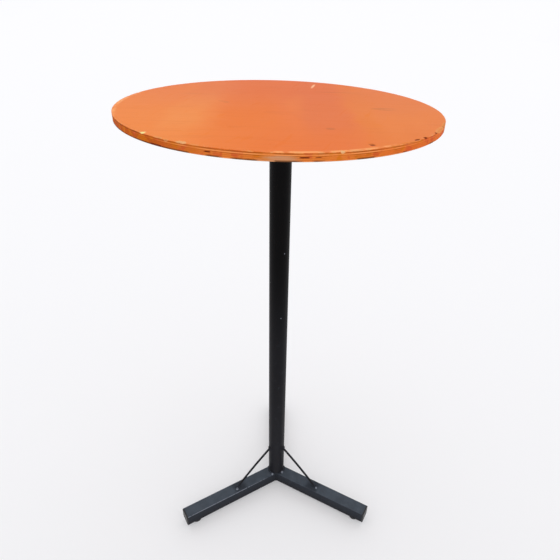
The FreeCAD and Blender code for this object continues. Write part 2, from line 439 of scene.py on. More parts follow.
stainLook = {
    "honey": (0.90, 0.248, 0.045, 1),
    "coral": (0.855, 0.192, 0.034, 1),
    "amber": (0.83, 0.214, 0.042, 1),
    "roseSheen": (0.785, 0.156, 0.038, 1),
    "fleck": (0.66, 0.130, 0.020, 1),
    # x in metres, half width, strength and colour of bands in the stain
    "bands": ((-0.165, 0.045, 0.6, (0.91, 0.290, 0.066, 1)), (-0.060, 0.070, 0.8, (0.86, 0.188, 0.020, 1)),
              (0.075, 0.065, 0.7, (0.79, 0.176, 0.046, 1)), (0.150, 0.032, 0.6, (0.83, 0.212, 0.028, 1))),
    "edgeLeft": (0.56, 0.108, 0.010, 1),
    "edgeFront": (0.86, 0.240, 0.042, 1),
    "edgeRight": (0.84, 0.185, 0.030, 1),
    # the next two are paler tones, for the light plies and for wear with a painted highlight along the arris
    "paleAndHighlight": (0.96, 0.360, 0.110, 1),
    "rubbed": (1.0, 0.400, 0.130, 1),
    "edgeRed": (0.70, 0.100, 0.034, 1),
    "edgeGold": (0.70, 0.195, 0.006, 1),
    "crossPly": (0.46, 0.090, 0.008, 1),
    "shadeAndGrime": (0.110, 0.040, 0.012, 1),
    "beige": (0.88, 0.52, 0.25, 1),
    "straw": (0.86, 0.40, 0.15, 1),
    "bare": (1.0, 0.90, 0.36, 1),
    "dirt": (0.26, 0.042, 0.014, 1),
    "soot": (0.110, 0.020, 0.007, 1),
    "under": (0.46, 0.20, 0.075, 1),
    "underGrain": (0.30, 0.115, 0.04, 1),
    "underPatch": (0.56, 0.29, 0.13, 1),
    "scuff": (0.66, 0.33, 0.17, 1),
    "smudge": (0.34, 0.085, 0.022, 1),
    "glint": (0.98, 0.55, 0.30, 1),
    # x and y in metres, half length and half width, strength
    "smudges": ((0.197, 0.001, 0.034, 0.015, 0.30), (0.0772, -0.162, 0.010, 0.010, 0.28),
                (-0.1045, 0.022, 0.008, 0.008, 0.22), (-0.1134, 0.032, 0.010, 0.008, 0.22),
                (0.120, 0.160, 0.060, 0.010, 0.12), (-0.170, 0.095, 0.050, 0.008, 0.10)),
    "lightMark": (0.0735, 0.230, 0.0040, 0.034, 0.95),
    "lightSlant": 0.2,
    "specular": 0.03,
}


def stainedPlywood():
    finish, root, shader, place = newFinish("stainedPlywood")
    look = stainLook
    low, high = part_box("table_top")
    x, y, z = axes(place)
    depth = (high.z - z) * (1 / mm)
    thick = (high.z - low.z) / mm
    radius = lengthOf(stretch(place, 1, 1, 0))
    inset = (high.x - radius) * (1 / mm)

    def oval(mark, slant=0.0):
        centreX, centreY, halfX, halfY, strength = mark
        u, v = (x - centreX - slant * (y - centreY)) * (1 / halfX), (y - centreY) * (1 / halfY)
        return step(u * u + v * v, 1.0, 0.05) * strength

    # face: stain lies in soft clouds, the grain runs along X
    mottle = cloud(stretch(place, 1.0, 0.75, 1.0), 7.0, 3.0, 0.55, 0.6)
    broad = cloud(stretch(place, 1.0, 0.35, 1.0), 9.0, 1.0)
    grain = cloud(stretch(place, 5.0, 150.0, 1.0), 1.0, 5.0, 0.6, 0.4)
    figure = cloud(stretch(place, 9.0, 60.0, 1.0), 1.0, 2.0, 0.5, 1.2)
    pores = step(cloud(stretch(place, 90.0, 1500.0, 1.0), 1.0, 2.0, 0.6), 0.62, 0.74)
    across = x + 0.06 * (mottle - 0.5) + 0.05 * (broad - 0.5)
    # honey on the left to coral and amber on the right, and the pinker coral middle is partly a painted
    # reflection
    face = tint(step(across, -0.17, 0.00), look["honey"], look["coral"])
    face = tint(step(across, 0.08, 0.19), face, look["amber"])
    # bands where the stain took differently, weaker towards the front
    fading = 1 - 0.6 * step(y, -0.13, -0.22)
    for centre, half, share, shade in look["bands"]:
        face = tint(share * fading * step(abs(across - centre), half, 0.4 * half), face, shade)
    # painted reflection, a pinker sheen painted on the face towards the back, less on the right
    sheenBlush = 0.70 * step(y + 0.06 * (mottle - 0.5), -0.12, 0.20) * (1 - 0.6 * step(across, 0.08, 0.18))
    face = tint(sheenBlush, face, look["roseSheen"])
    face = tint(0.16 * step(grain, 0.52, 0.75) + 0.12 * step(figure, 0.56, 0.72), face, look["fleck"])
    face = tint(0.20 * pores * step(figure, 0.35, 0.6), face, look["fleck"])
    face = tint(0.30 * step(broad, 0.52, 0.70), face, look["honey"])
    marks = oval(look["smudges"][0]) * step(figure, 0.35, 0.65)
    for mark in look["smudges"][1:]:
        marks = larger(marks, oval(mark) * step(grain, 0.3, 0.6))
    face = tint(marks, face, look["smudge"])
    face = tint(oval(look["lightMark"], look["lightSlant"]), face, look["glint"])
    # the rim is painted pale, for wear and a painted highlight along the arris, most of all in front and on
    # the far left
    front = step(abs(x - 0.07), 0.105, 0.07) * step(y, 0.0, -0.1)
    front = larger(front, step(x, -0.27, -0.29))
    rim = cloud(place, 60.0, 2.0)
    worn = step(inset, 2.4, 0.8) * (0.35 + 0.65 * step(rim, 0.42, 0.58))
    face = tint(0.75 * worn, face, look["paleAndHighlight"])
    face = tint(front * step(inset, 9.0, 4.0) * (0.20 + 0.80 * step(rim, 0.40, 0.54)), face, look["rubbed"])

    # edge: a tone round the rim, then the plies by depth
    patch = cloud(place, 26.0, 2.0, 0.5)
    blotch = cloud(place, 58.0, 2.0, 0.5)
    streak = cloud(stretch(place, 14.0, 14.0, 900.0), 1.0, 3.0, 0.6)
    speck = cloud(place, 900.0, 2.0, 0.6)
    leftness = step(x + 0.08 * (patch - 0.5), -0.07, -0.20)
    rightness = step(x + 0.06 * (patch - 0.5), 0.16, 0.22)
    edge = tint(leftness, look["edgeFront"], look["edgeLeft"])
    edge = tint(step(x, 0.06, 0.20), edge, look["edgeRight"])
    edge = tint(0.70 * step(blotch, 0.54, 0.64), edge, look["edgeRed"])
    edge = tint(0.65 * step(blotch, 0.45, 0.36), edge, look["edgeGold"])
    bounds, total, dark, light = [], 0.0, None, None
    for ply, shade in zip(boardLook["plies"], boardLook["plyShade"]):
        band = step(depth, total - 0.12, total + 0.12) * step(depth, total + ply + 0.12, total + ply - 0.12)
        if shade:
            dark = band * shade if dark is None else dark + band * shade
        elif light is None:
            light = band * 0.2  # the top ply keeps most of its stain
        else:
            light = light + band * 0.70
        total += ply
        bounds.append(total)
    contrast = (0.45 + 0.75 * step(patch, 0.36, 0.62)) * (1 - 0.75 * rightness)
    edge = tint(light * contrast * (1 - 0.9 * leftness) * (0.6 + 0.5 * streak), edge, look["paleAndHighlight"])
    edge = tint(dark * contrast * (1 - 0.35 * leftness) * (0.75 + 0.4 * streak), edge, look["crossPly"])
    edge = tint(0.28 * step(speck, 0.55, 0.75), edge, look["crossPly"])
    seam = step(abs(depth - bounds[0]), 0.22, 0.06)
    for bound in bounds[1:-1]:
        seam = larger(seam, step(abs(depth - bound), 0.22, 0.06))
    edge = tint(seam * (0.15 + 0.35 * step(patch, 0.4, 0.6)), edge, look["crossPly"])
    # painted shade, a dark band just under the top arris on the left
    shadow = step(x, -0.17, -0.25) * step(depth, 0.6, 1.0) * step(depth + 2 * (patch - 0.5), 2.9, 2.0)
    edge = tint((0.25 + 0.40 * step(blotch, 0.45, 0.60)) * shadow, edge, look["shadeAndGrime"])
    # knees have rubbed the front pale
    rubbed = step(abs(x + 0.008 + 0.04 * (blotch - 0.5)), 0.036, 0.010) * step(y, 0.0, -0.1)
    rubbed = rubbed * step(depth + 4 * (patch - 0.5) + 2 * (streak - 0.5), 4.0, 7.5)
    edge = tint(rubbed * (0.55 + 0.4 * step(streak, 0.4, 0.6)), edge, look["scuff"])
    # pale along the top of the edge, for wear and a painted highlight on the arris
    crest = step(depth, 1.2, 0.6) * step(cloud(place, 90.0, 2.0), 0.36, 0.56)
    edge = tint(0.7 * crest, edge, look["paleAndHighlight"])

    # underside: the bare face ply with a thin wash of stain
    under = tint(0.6 * step(grain, 0.40, 0.70), look["under"], look["underGrain"])
    under = tint(0.4 * step(mottle, 0.4, 0.7), under, look["underPatch"])

    onEdge = step(depth, 0.45, 0.95) * step(inset, 4.5, 3.0)
    onUnder = step(depth, thick - 0.7, thick - 0.2)
    pale = attributeOf(place, "pale")
    dirt = attributeOf(place, "dirt")
    colour = tint(onUnder, tint(onEdge, face, edge), under)
    # the lower rim is painted dark, for dirt and painted shade under the board's edge, more so on the left
    shadeAndGrime = step(depth, thick - 2.8, thick - 1.4) * step(inset, 3.0, 1.5)
    shadeAndGrime = shadeAndGrime * step(patch + 0.16 * leftness, 0.50, 0.62)
    colour = tint(0.85 * shadeAndGrime, colour, look["shadeAndGrime"])
    chipped = tint(step(pale, 0.50, 0.78), look["straw"], look["beige"])
    chipped = tint(step(pale, 0.80, 0.97), chipped, look["bare"])
    colour = tint(step(pale, 0.05, 0.60) * (0.75 + 0.4 * step(speck, 0.35, 0.6)), colour, chipped)
    colour = tint(dirt, colour, tint(step(dirt + 0.4 * speck, 1.05, 1.45), look["dirt"], look["soot"]))

    scratch = larger(hairlines(place, 60.0, 0.006, 0.35), hairlines(place, 48.0, 0.005, 1.9))
    gloss = 0.36 + 0.10 * mottle + 0.06 * grain + 0.08 * scratch
    gloss = gloss + 0.22 * onEdge + 0.25 * larger(pale, dirt) + 0.15 * onUnder
    fibre = 0.25 * grain - 0.5 * pores - 0.35 * scratch + onEdge * (1.2 * streak + 0.8 * speck - 1.5 * seam)
    root.plug(shader, {"Base Color": colour, "Roughness": gloss, "Specular IOR Level": look["specular"],
                       "Normal": relief(fibre, 0.35, 0.12 * mm)})
    return finish


# black paint on the steel

paintLook = {
    "black": (0.0012, 0.0009, 0.0012, 1),
    "fadedAndLit": (0.0165, 0.0165, 0.0200, 1),
    # dust, with a painted sheen of the sky on the tops
    "dust": (0.070, 0.084, 0.104, 1),
    "slate": (0.026, 0.030, 0.039, 1),
    "primer": (0.252, 0.272, 0.322, 1),
    "rust": (0.11, 0.040, 0.015, 1),
    # x, y, z in metres and radius in mm of small chips in the paint
    "specks": ((0.0111, -0.0195, 0.7984, 1.6), (0.0061, -0.0217, 0.6264, 1.5), (-0.0112, -0.0236, 0.047, 4.4),
               (0.0177, -0.0175, 0.048, 5.0), (-0.1140, -0.0725, 0.046, 4.8), (0.1180, -0.0720, 0.046, 4.0)),
    "specular": 0.070,
}


def blackPaint(name, weld=False):
    finish, root, shader, place = newFinish(name)
    look = paintLook
    x, z = axes(place)[::2]
    up = axes(root.make("ShaderNodeNewGeometry", out="Normal"))[2]
    patch = cloud(place, 38.0, 3.0, 0.6)
    fine = cloud(place, 420.0, 3.0, 0.6)
    peel = cloud(place, 1400.0, 1.0)
    # painted shade: the upper column, in the board's shadow, is painted deep black, and the lower stand
    # lighter, where it is also more scuffed
    low = 0.55 * step(z + 0.06 * (patch - 0.5), 0.80, 0.46) + 0.45 * step(z, 0.48, 0.09)
    paint = tint(low * (0.80 + 0.40 * patch), look["black"], look["fadedAndLit"])
    # the legs are slate, painted darker towards the floor as painted shade at their feet
    paint = tint(step(z, 0.054, 0.046) * (0.35 + 0.65 * step(z, 0.012, 0.042)), paint, look["slate"])
    # painted shade: the legs are painted darker round the feet of the braces, where the braces shade them
    reach = lengthOf(stretch(place, 1, 1, 0))
    braceShade = step(abs(reach - 0.126 + 0.016 * (patch - 0.5)), 0.026, 0.010)
    # up-facing faces are painted lighter and bluish, for dust and a painted sheen of the sky
    dust = (1 - 0.75 * braceShade) * step(up, 0.35, 0.95) * (0.70 + 0.30 * step(patch, 0.3, 0.65))
    dust = dust * (0.80 + 0.35 * fine)
    dust = dust * (1 - 0.8 * step(z, 0.050, 0.056))  # hardly any on the braces
    if weld:
        dust = 0.25 * dust  # the beads stay dark
    scratch = larger(hairlines(place, 90.0, 0.010, 0.6), hairlines(place, 70.0, 0.008, 2.3))
    scratch = scratch * step(patch, 0.50, 0.66) * (0.2 + 0.8 * low)
    colour = tint(dust, paint, look["dust"])
    colour = tint(0.10 * scratch, colour, look["primer"])
    edge = attributeOf(place, "edge")
    # bare along the arrises, for wear from shoes and a painted highlight, the left leg most, and its outer
    # end more than the rest
    rubbedAndHighlit = 0.06 + 0.30 * step(x, -0.020, -0.040) + 0.31 * step(x, -0.060, -0.085)
    bare = rubbedAndHighlit * step(edge * (0.55 + 0.9 * cloud(place, 150.0, 3.0, 0.65)), 0.84, 0.97)
    for *spot, size in look["specks"]:
        far = root.make("ShaderNodeVectorMath", {"operation": "DISTANCE"}, {0: place, 1: spot}, out="Value")
        bare = larger(bare, 0.90 * step(far + 0.0045 * (fine - 0.5), size * mm, 0.4 * size * mm))
    if weld:
        bare = larger(bare, 0.30 * step(fine, 0.58, 0.70) * step(patch, 0.45, 0.62))
    colour = tint(bare, colour, look["primer"])
    damp = step(z, 0.020, 0.012) * step(fine, 0.62, 0.72) * step(patch, 0.45, 0.6)
    colour = tint(0.6 * damp, colour, look["rust"])
    gloss = 0.36 + 0.12 * patch + 0.06 * fine + 0.20 * dust + 0.10 * scratch + 0.12 * bare + 0.2 * damp
    height = 0.35 * peel + 0.4 * fine - 0.8 * scratch - 1.2 * bare
    root.plug(shader, {"Base Color": colour, "Roughness": gloss, "Specular IOR Level": look["specular"],
                       "Normal": relief(height, 0.30 if weld else 0.16, 0.10 * mm)})
    return finish


plasticLook = {
    "black": (0.012, 0.012, 0.013, 1),
    "grey": (0.022, 0.022, 0.023, 1),
    "worn": (0.055, 0.055, 0.056, 1),
    "dust": (0.16, 0.15, 0.13, 1),
    "specular": 0.40,
}


def mouldedPlastic():
    finish, root, shader, place = newFinish("mouldedPlastic")
    look = plasticLook
    grain = cloud(place, 2600.0, 2.0, 0.6)
    patch = cloud(place, 120.0, 3.0, 0.6)
    z = axes(place)[2]
    worn = step(attributeOf(place, "edge") + 0.5 * (patch - 0.5), 0.55, 0.95)
    floorDust = step(z, 0.006, 0.0005) * step(patch, 0.35, 0.65)
    colour = tint(step(patch, 0.35, 0.7), look["black"], look["grey"])
    colour = tint(0.5 * worn, colour, look["worn"])
    colour = tint(0.45 * floorDust, colour, look["dust"])
    gloss = 0.50 + 0.12 * patch - 0.12 * worn + 0.2 * floorDust
    root.plug(shader, {"Base Color": colour, "Roughness": gloss, "Specular IOR Level": look["specular"],
                       "Normal": relief(grain, 0.22, 0.06 * mm)})
    return finish


zincLook = {"bright": (0.56, 0.58, 0.62, 1), "yellowed": (0.66, 0.64, 0.56, 1), "dull": (0.30, 0.30, 0.31, 1)}


def zincPlate():
    finish, root, shader, place = newFinish("zincPlate")
    look = zincLook
    patch = cloud(place, 220.0, 3.0, 0.6)
    fine = cloud(place, 1500.0, 2.0, 0.6)
    colour = tint(step(patch, 0.3, 0.7), look["bright"], look["yellowed"])
    colour = tint(0.5 * step(fine, 0.62, 0.75), colour, look["dull"])
    gloss = 0.28 + 0.16 * patch + 0.10 * fine
    root.plug(shader, {"Base Color": colour, "Roughness": gloss, "Metallic": 1.0,
                       "Normal": relief(fine, 0.12, 0.05 * mm)})
    return finish


# the column: a round tube

tubeLook = {"segments": 128, "lengths": 12, "wall": 2.5}


def makeTube(finish):
    low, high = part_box("column_tube")
    bpy.ops.mesh.primitive_circle_add(vertices=tubeLook["segments"], radius=high.x, location=(0, 0, low.z))
    piece = startPiece("columnTube")
    for index in range(tubeLook["lengths"]):
        extrude(0, 0, (high.z - low.z) / tubeLook["lengths"])
    endPiece()
    applyModifier(piece, "SOLIDIFY", {"thickness": tubeLook["wall"] * mm, "offset": -1.0})
    smoothShade(piece)
    fitPiece(piece, "stand", "column_tube", finish)
    print("column tube done")


# the legs: square tubes, mitred together under the column

legLook = {"corner": 3.0, "cornerSteps": 6, "wall": 2.0,
           "nutHole": 5.55, "nutSetback": 28.0, "holeSteps": 128}


def makeLegs(finish):
    look = legLook
    low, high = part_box("leg_rear")
    bpy.ops.mesh.primitive_cube_add(size=1, location=(0, high.y / 2, (low.z + high.z) / 2),
                                    scale=(high.x - low.x, high.y, high.z - low.z))
    piece = startPiece("legRear")
    pick("FACE", lambda face: abs(face.normal.y) > 0.9)
    bpy.ops.mesh.delete(type="FACE")
    pick("EDGE", lambda edge: abs(edge.verts[0].co.y - edge.verts[1].co.y) > high.y / 2)
    bpy.ops.mesh.bevel(offset=look["corner"] * mm, segments=look["cornerSteps"], affect="EDGES")
    endPiece()
    applyModifier(piece, "SOLIDIFY", {"thickness": look["wall"] * mm, "offset": -1.0})
    bpy.ops.object.mode_set(mode="EDIT")
    for side in (-1, 1):
        # each mitre is half the angle to the next leg
        bpy.ops.mesh.select_all(action="SELECT")
        bpy.ops.mesh.bisect(plane_co=(0, 0, 0), plane_no=(side * 0.5, math.sqrt(0.75), 0),
                            use_fill=True, clear_inner=True)
    endPiece()
    # the hole for the nut underneath
    place = (0, high.y - look["nutSetback"] * mm, low.z)
    bpy.ops.mesh.primitive_cylinder_add(vertices=look["holeSteps"], radius=look["nutHole"] * mm,
                                        depth=10 * mm, location=place)
    bpy.ops.object.transform_apply()
    cutAway(piece, bpy.context.object)
    corner = look["corner"] * mm
    half, level = high.x - corner, (low.z + high.z) / 2
    points = [vertex.co for vertex in piece.data.vertices]
    rounding = [min(abs(point.x) - half, abs(point.z - level) - half) / (0.5 * corner) for point in points]
    setAttribute(piece, "edge", np.clip(rounding, 0, 1))
    smoothShade(piece, 30)
    fitSpokes(piece, "leg", "leg", finish)
    print("legs done")


# the braces: round bars, a little bowed

braceLook = {"diameter": 6.0, "foot": 131.0, "rise": 104.0, "bow": 2.0, "sunk": 1.6,
             "steps": 16, "segments": 32}


def braceEnds():
    head = Vector((0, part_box("column_tube")[1].x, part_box("leg_rear")[1].z + braceLook["rise"] * mm))
    foot = Vector((0, braceLook["foot"] * mm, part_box("leg_rear")[1].z))
    return head, foot


def makeBraces(finish):
    look = braceLook
    head, foot = braceEnds()
    run = (foot - head).normalized()
    start, end = head - run * look["sunk"] * mm, foot + run * look["sunk"] * mm
    side = Vector((0, -run.z, run.y))  # away from the corner of the leg and the column
    steps = look["steps"]
    line = [start.lerp(end, index / steps) + side * look["bow"] * mm * math.sin(math.pi * index / steps)
            for index in range(steps + 1)]
    turn = run.to_track_quat("Z", "X").to_euler()
    bpy.ops.mesh.primitive_circle_add(vertices=look["segments"], radius=look["diameter"] * mm / 2,
                                      fill_type="NGON", location=line[0], rotation=turn)
    piece = startPiece("braceRear")
    for here, there in zip(line, line[1:]):
        extrude(*(there - here))
    endPiece()
    smoothShade(piece)
    fitSpokes(piece, "brace", "brace", finish)
    print("braces done")


# weld beads: overlapping drops along the joint, run together

weldLook = {
    "drop": 3.1, "pitch": 1.9, "lift": 0.8, "proud": 0.3,
    "seamDrop": 1.9, "seamPitch": 1.5,
    "headDrop": 3.1, "footDrop": 2.3, "bracePitch": 1.7, "braceLift": 0.7,
    "squash": 0.62, "vary": (0.88, 1.12), "voxel": 0.45, "seed": 5,
}


def runBead(name, spots):
    # spots are (place, run, size), and each drop is squashed along its run
    draw = random.Random(weldLook["seed"])
    drops = []
    for place, run, size in spots:
        size *= draw.uniform(*weldLook["vary"])
        bpy.ops.mesh.primitive_uv_sphere_add(segments=20, ring_count=12, radius=size, location=place,
                                             rotation=run.to_track_quat("Z", "X").to_euler(),
                                             scale=(1, 1, weldLook["squash"]))
        drops.append(bpy.context.object)
    piece = joinAll(drops, name)
    applyModifier(piece, "REMESH", {"mode": "VOXEL", "voxel_size": weldLook["voxel"] * mm})
    applyModifier(piece, "SMOOTH", {"factor": 0.5, "iterations": 2})
    smoothShade(piece, 60)
    return piece


def spread(length, pitch):
    count = max(2, round(length / pitch))
    return [index / count for index in range(count + 1)]


def legBeads(finish):
    # one bead over the leg at the column's foot, one upright seam to the next leg round
    low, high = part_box("leg_rear")
    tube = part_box("column_tube")[1].x
    size, pitch, lift = (weldLook[name] * mm for name in ("drop", "pitch", "lift"))
    half = math.asin((high.x - legLook["corner"] * mm) / tube)
    runs = []
    for share in spread(2 * half * tube, pitch):
        swing = half * (2 * share - 1)
        reach = tube + lift
        runs.append((Vector((reach * math.sin(swing), reach * math.cos(swing), high.z + lift)),
                     Vector((math.cos(swing), -math.sin(swing), 0)), size))
    seam, seamPitch = weldLook["seamDrop"] * mm, weldLook["seamPitch"] * mm
    swing = math.radians(150)  # half way round to the next leg
    reach = high.x / math.sin(math.radians(60)) + weldLook["proud"] * mm
    for share in spread(high.z - low.z - 2 * seam, seamPitch):
        level = low.z + seam + share * (high.z - low.z - 2 * seam)
        place = Vector((reach * math.cos(swing), reach * math.sin(swing), level))
        runs.append((place, Vector((0, 0, 1)), seam))
    piece = runBead("legWeldsRear", runs)
    fitSpokes(piece, "legWelds", "leg_welds", finish)


def braceBeads(finish):
    head, foot = braceEnds()
    run = (foot - head).normalized()
    bar = braceLook["diameter"] * mm / 2
    pitch, lift, proud = (weldLook[name] * mm for name in ("bracePitch", "braceLift", "proud"))
    runs = []
    across = Vector((1, 0, 0))
    ends = ((head, Vector((0, 0, 1)), abs(run.y), weldLook["headDrop"] * mm),
            (foot, Vector((0, 1, 0)), abs(run.z), weldLook["footDrop"] * mm))
    for centre, plane, slant, size in ends:
        wide, longer = bar + lift, bar / slant + lift
        for share in spread(math.pi * (wide + longer), pitch)[:-1]:
            swing = 2 * math.pi * share
            place = centre + across * wide * math.cos(swing) + plane * longer * math.sin(swing)
            if centre == head:
                place.y = math.sqrt(head.y ** 2 - place.x ** 2) + proud
            else:
                place.z += proud
            along = plane * longer * math.cos(swing) - across * wide * math.sin(swing)
            runs.append((place, along.normalized(), size))
    piece = runBead("braceWeldsRear", runs)
    fitSpokes(piece, "braceWelds", "brace_welds", finish)


def plateBead(finish):
    tube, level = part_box("column_tube")[1].x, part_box("top_plate")[0].z
    size, pitch, lift = (weldLook[name] * mm for name in ("drop", "pitch", "lift"))
    runs = []
    for share in spread(2 * math.pi * tube, pitch)[:-1]:
        swing = 2 * math.pi * share
        place = Vector(((tube + lift) * math.cos(swing), (tube + lift) * math.sin(swing), level - lift))
        runs.append((place, Vector((-math.sin(swing), math.cos(swing), 0)), size))
    piece = runBead("plateWeld", runs)
    fitPiece(piece, "stand", "plate_weld", finish)


# plastic caps in the ends of the legs

capLook = {"flange": 4.0, "corner": 3.0, "cornerSteps": 6, "rim": 1.2, "rimSteps": 4,
           "dish": 4.5, "dishDepth": 0.4, "dishSlope": 0.8, "shank": 2.3, "depth": 17.0, "taper": 0.97}


def makeCaps(finish):
    look = capLook
    low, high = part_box("end_cap_rear")
    width, flange, rim = high.x - low.x, look["flange"] * mm, look["rim"] * mm
    bpy.ops.mesh.primitive_plane_add(size=width, location=(0, high.y - flange, (low.z + high.z) / 2),
                                     rotation=(math.radians(-90), 0, 0))
    piece = startPiece("endCapRear")
    bpy.ops.mesh.bevel(offset=look["corner"] * mm, segments=look["cornerSteps"], affect="VERTICES")
    bpy.ops.mesh.select_all(action="SELECT")
    extrude(0, flange - rim, 0)
    # the rim goes over in small steps, then the face sinks to a shallow dish
    steps = [math.radians(90 * (index + 1) / look["rimSteps"]) for index in range(look["rimSteps"])]
    outline = [(rim * (1 - math.cos(swing)), rim * math.sin(swing)) for swing in steps]
    dish, slope, sink = (look[name] * mm for name in ("dish", "dishSlope", "dishDepth"))
    outline += [(dish, rim), (dish + slope, rim - sink)]
    half, rise = width / 2, 0.0
    for inset, nextRise in outline:
        nextHalf = width / 2 - inset
        extrude(0, nextRise - rise, 0)
        bpy.ops.transform.resize(value=(nextHalf / half, 1, nextHalf / half))
        half, rise = nextHalf, nextRise
    # the shank behind it
    pick("FACE", lambda face: face.normal.y < -0.9)
    slim = 1 - look["shank"] * mm / (width / 2)
    extrude(0, 0, 0)
    bpy.ops.transform.resize(value=(slim, 1, slim))
    extrude(0, -look["depth"] * mm, 0)
    bpy.ops.transform.resize(value=(look["taper"], 1, look["taper"]))
    endPiece()
    rounded = [high.y - rim < point.co.y < high.y - 0.01 * mm for point in piece.data.vertices]
    setAttribute(piece, "edge", rounded)
    smoothShade(piece, 30)
    fitSpokes(piece, "endCap", "end_cap", finish)
    print("end caps done")


# wood screws under the plate

screwLook = {
    "head": 4.8, "shank": 2.5, "point": 4.0, "segments": 48,
    # shares of the head's radius and height, from the middle of its top
    "dome": ((0.30, 0.02), (0.52, 0.09), (0.70, 0.20), (0.84, 0.36), (0.94, 0.55), (1.0, 0.78), (1.0, 1.0)),
    "recess": 5.2, "slot": 1.1, "deep": 1.9, "narrowing": 0.55,
    "turns": (12, 47, 71, 33),
}


def makeScrews(finish):
    look = screwLook
    low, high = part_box("top_screws")
    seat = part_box("top_plate")[0].z
    head, shank = look["head"] * mm, look["shank"] * mm
    outline = [(0, low.z)]
    for share, rise in look["dome"]:
        outline.append((head * share, low.z + (seat - low.z) * rise))
    outline += [(shank, seat), (shank, high.z - look["point"] * mm), (0, high.z)]
    screw = lathe("topScrews", outline, look["segments"])
    endPiece()
    recess, slot, deep, narrow = (look[name] for name in ("recess", "slot", "deep", "narrowing"))
    for turn in (0, 90):
        bpy.ops.mesh.primitive_cube_add(size=1, location=(0, 0, low.z), rotation=(0, 0, math.radians(turn)),
                                        scale=(recess * mm, slot * mm, 2 * deep * mm))
        cutter = startPiece("crossCutter")
        # the recess narrows as it goes in
        pick("FACE", lambda face: face.normal.z > 0.9)
        bpy.ops.transform.resize(value=(narrow, narrow, 1))
        endPiece()
        cutAway(screw, cutter)
    bpy.ops.object.mode_set(mode="EDIT")
    endPiece()
    smoothShade(screw, 30)
    offset = high.x - head
    copies = []
    for index, turn in enumerate(look["turns"]):
        shift = (offset if index % 2 else -offset, offset if index > 1 else -offset, 0)
        copies.append(twinOf(screw, "screw" + str(index), turn, shift))
    bpy.data.objects.remove(screw)
    piece = joinAll(copies, "topScrews")
    fitPiece(piece, "stand", "top_screws", finish)
    print("screws done")


# levelling feet: a threaded stud in a moulded pad

studLook = {"radius": 4.0, "pitch": 1.25, "threadDepth": 0.68, "chamfer": 1.0, "sunk": 2.0,
            "segments": 40, "ringsPerPitch": 7}
padLook = {"hub": 11.0, "baseHeight": 3.5, "shoulder": 1.2, "grooves": 12, "grooveDepth": 1.0,
           "segments": 144}


def makeStuds(finish):
    look = studLook
    low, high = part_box("foot_stud_rear")
    axis = (low + high) / 2
    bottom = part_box("foot_pad_rear")[1].z - look["sunk"] * mm
    pitch, radius = look["pitch"] * mm, look["radius"] * mm
    bpy.ops.mesh.primitive_circle_add(vertices=look["segments"], radius=radius, fill_type="NGON",
                                      location=(0, 0, bottom))
    piece = startPiece("footStudRear")
    rings = round((high.z - bottom) / pitch * look["ringsPerPitch"])
    for index in range(rings):
        extrude(0, 0, (high.z - bottom) / rings)
    endPiece()
    # the thread: each ring's points move in by how far round the helix they are
    for vertex in piece.data.vertices:
        swing = math.atan2(vertex.co.y, vertex.co.x) / (2 * math.pi)
        phase = ((vertex.co.z - bottom) / pitch - swing) % 1.0
        groove = min(1.0, max(0.0, 1.35 * (1 - abs(2 * phase - 1)) - 0.12))
        end = max(0.0, look["chamfer"] * mm - (high.z - vertex.co.z))
        shrink = max(look["threadDepth"] * mm * groove, end)
        scale = (radius - shrink) / radius
        vertex.co.x *= scale
        vertex.co.y *= scale
    piece.data.transform(Matrix.Translation((axis.x, axis.y, 0)))
    smoothShade(piece, 30)
    fitSpokes(piece, "footStud", "foot_stud", finish, foot=True)


def makePads(finish):
    look = padLook
    low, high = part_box("foot_pad_rear")
    axis = (low + high) / 2
    base, hub, top = (high.x - low.x) / 2 / mm, look["hub"], high.z / mm
    level = look["baseHeight"]
    shoulder = level + look["shoulder"]
    # mm, from the hollow underneath round the base and the hub to the socket for the stud
    outline = [(0, 0.5), (9.5, 0.5), (10.2, 0), (base - 1.0, 0), (base - 0.3, 0.3), (base, 1.0),
               (base, level - 0.4), (base - 0.35, level), (hub + 0.5, shoulder - 0.2), (hub, shoulder + 0.3),
               (hub, top - 0.9), (hub - 0.25, top - 0.3), (hub - 0.9, top), (4.6, top), (4.2, top - 0.4),
               (4.1, top - 2), (0, top - 2)]
    outline = [(radius * mm, height * mm) for radius, height in outline]
    piece = lathe("footPadRear", outline, look["segments"])
    endPiece()
    # grip grooves round the hub
    edge = []
    for vertex in piece.data.vertices:
        flat, height = vertex.co.xy.length / mm, vertex.co.z / mm
        swing = math.atan2(vertex.co.y, vertex.co.x) / (2 * math.pi) * look["grooves"]
        valley = max(0.0, 1 - 3.2 * abs((swing % 1.0) - 0.5))
        if height > shoulder and flat > hub - 1.2:
            scale = 1 - look["grooveDepth"] * valley / hub
            vertex.co.x *= scale
            vertex.co.y *= scale
        edge.append(flat > base - 0.2 and height > 2)
    setAttribute(piece, "edge", edge)
    piece.data.transform(Matrix.Translation((axis.x, axis.y, 0)))
    smoothShade(piece, 30)
    fitSpokes(piece, "footPad", "foot_pad", finish, foot=True)
    print("feet done")


# floor, light and camera

stageLook = {
    "floorSize": 80.0,  # metres
    "floorCuts": 7,
    "farShare": 0.3,  # of the size, where the far floor starts
    "farRise": 2.0,  # the far floor rises a little, past the horizon
    "nearTone": 0.880,  # pale grey round the table, lighter far off
    "toneSpan": 0.115,
    "toneReach": 0.9,  # metres past these lines of y and x to half of the span
    "behind": -0.6, "before": -1.6, "beside": 1.2,
    "floorHue": (0.997, 1.012),  # green and blue, against red
    "glow": 0.28,  # share of the floor that shines by itself
    "skyTone": (0.98, 0.985, 1.0, 1),
    "worldStrength": 0.93,
    "sunStrength": 0.26,
    "sunSpread": 50.0,  # degrees across
    "sunTilt": 5.0,  # degrees, from behind the table
}

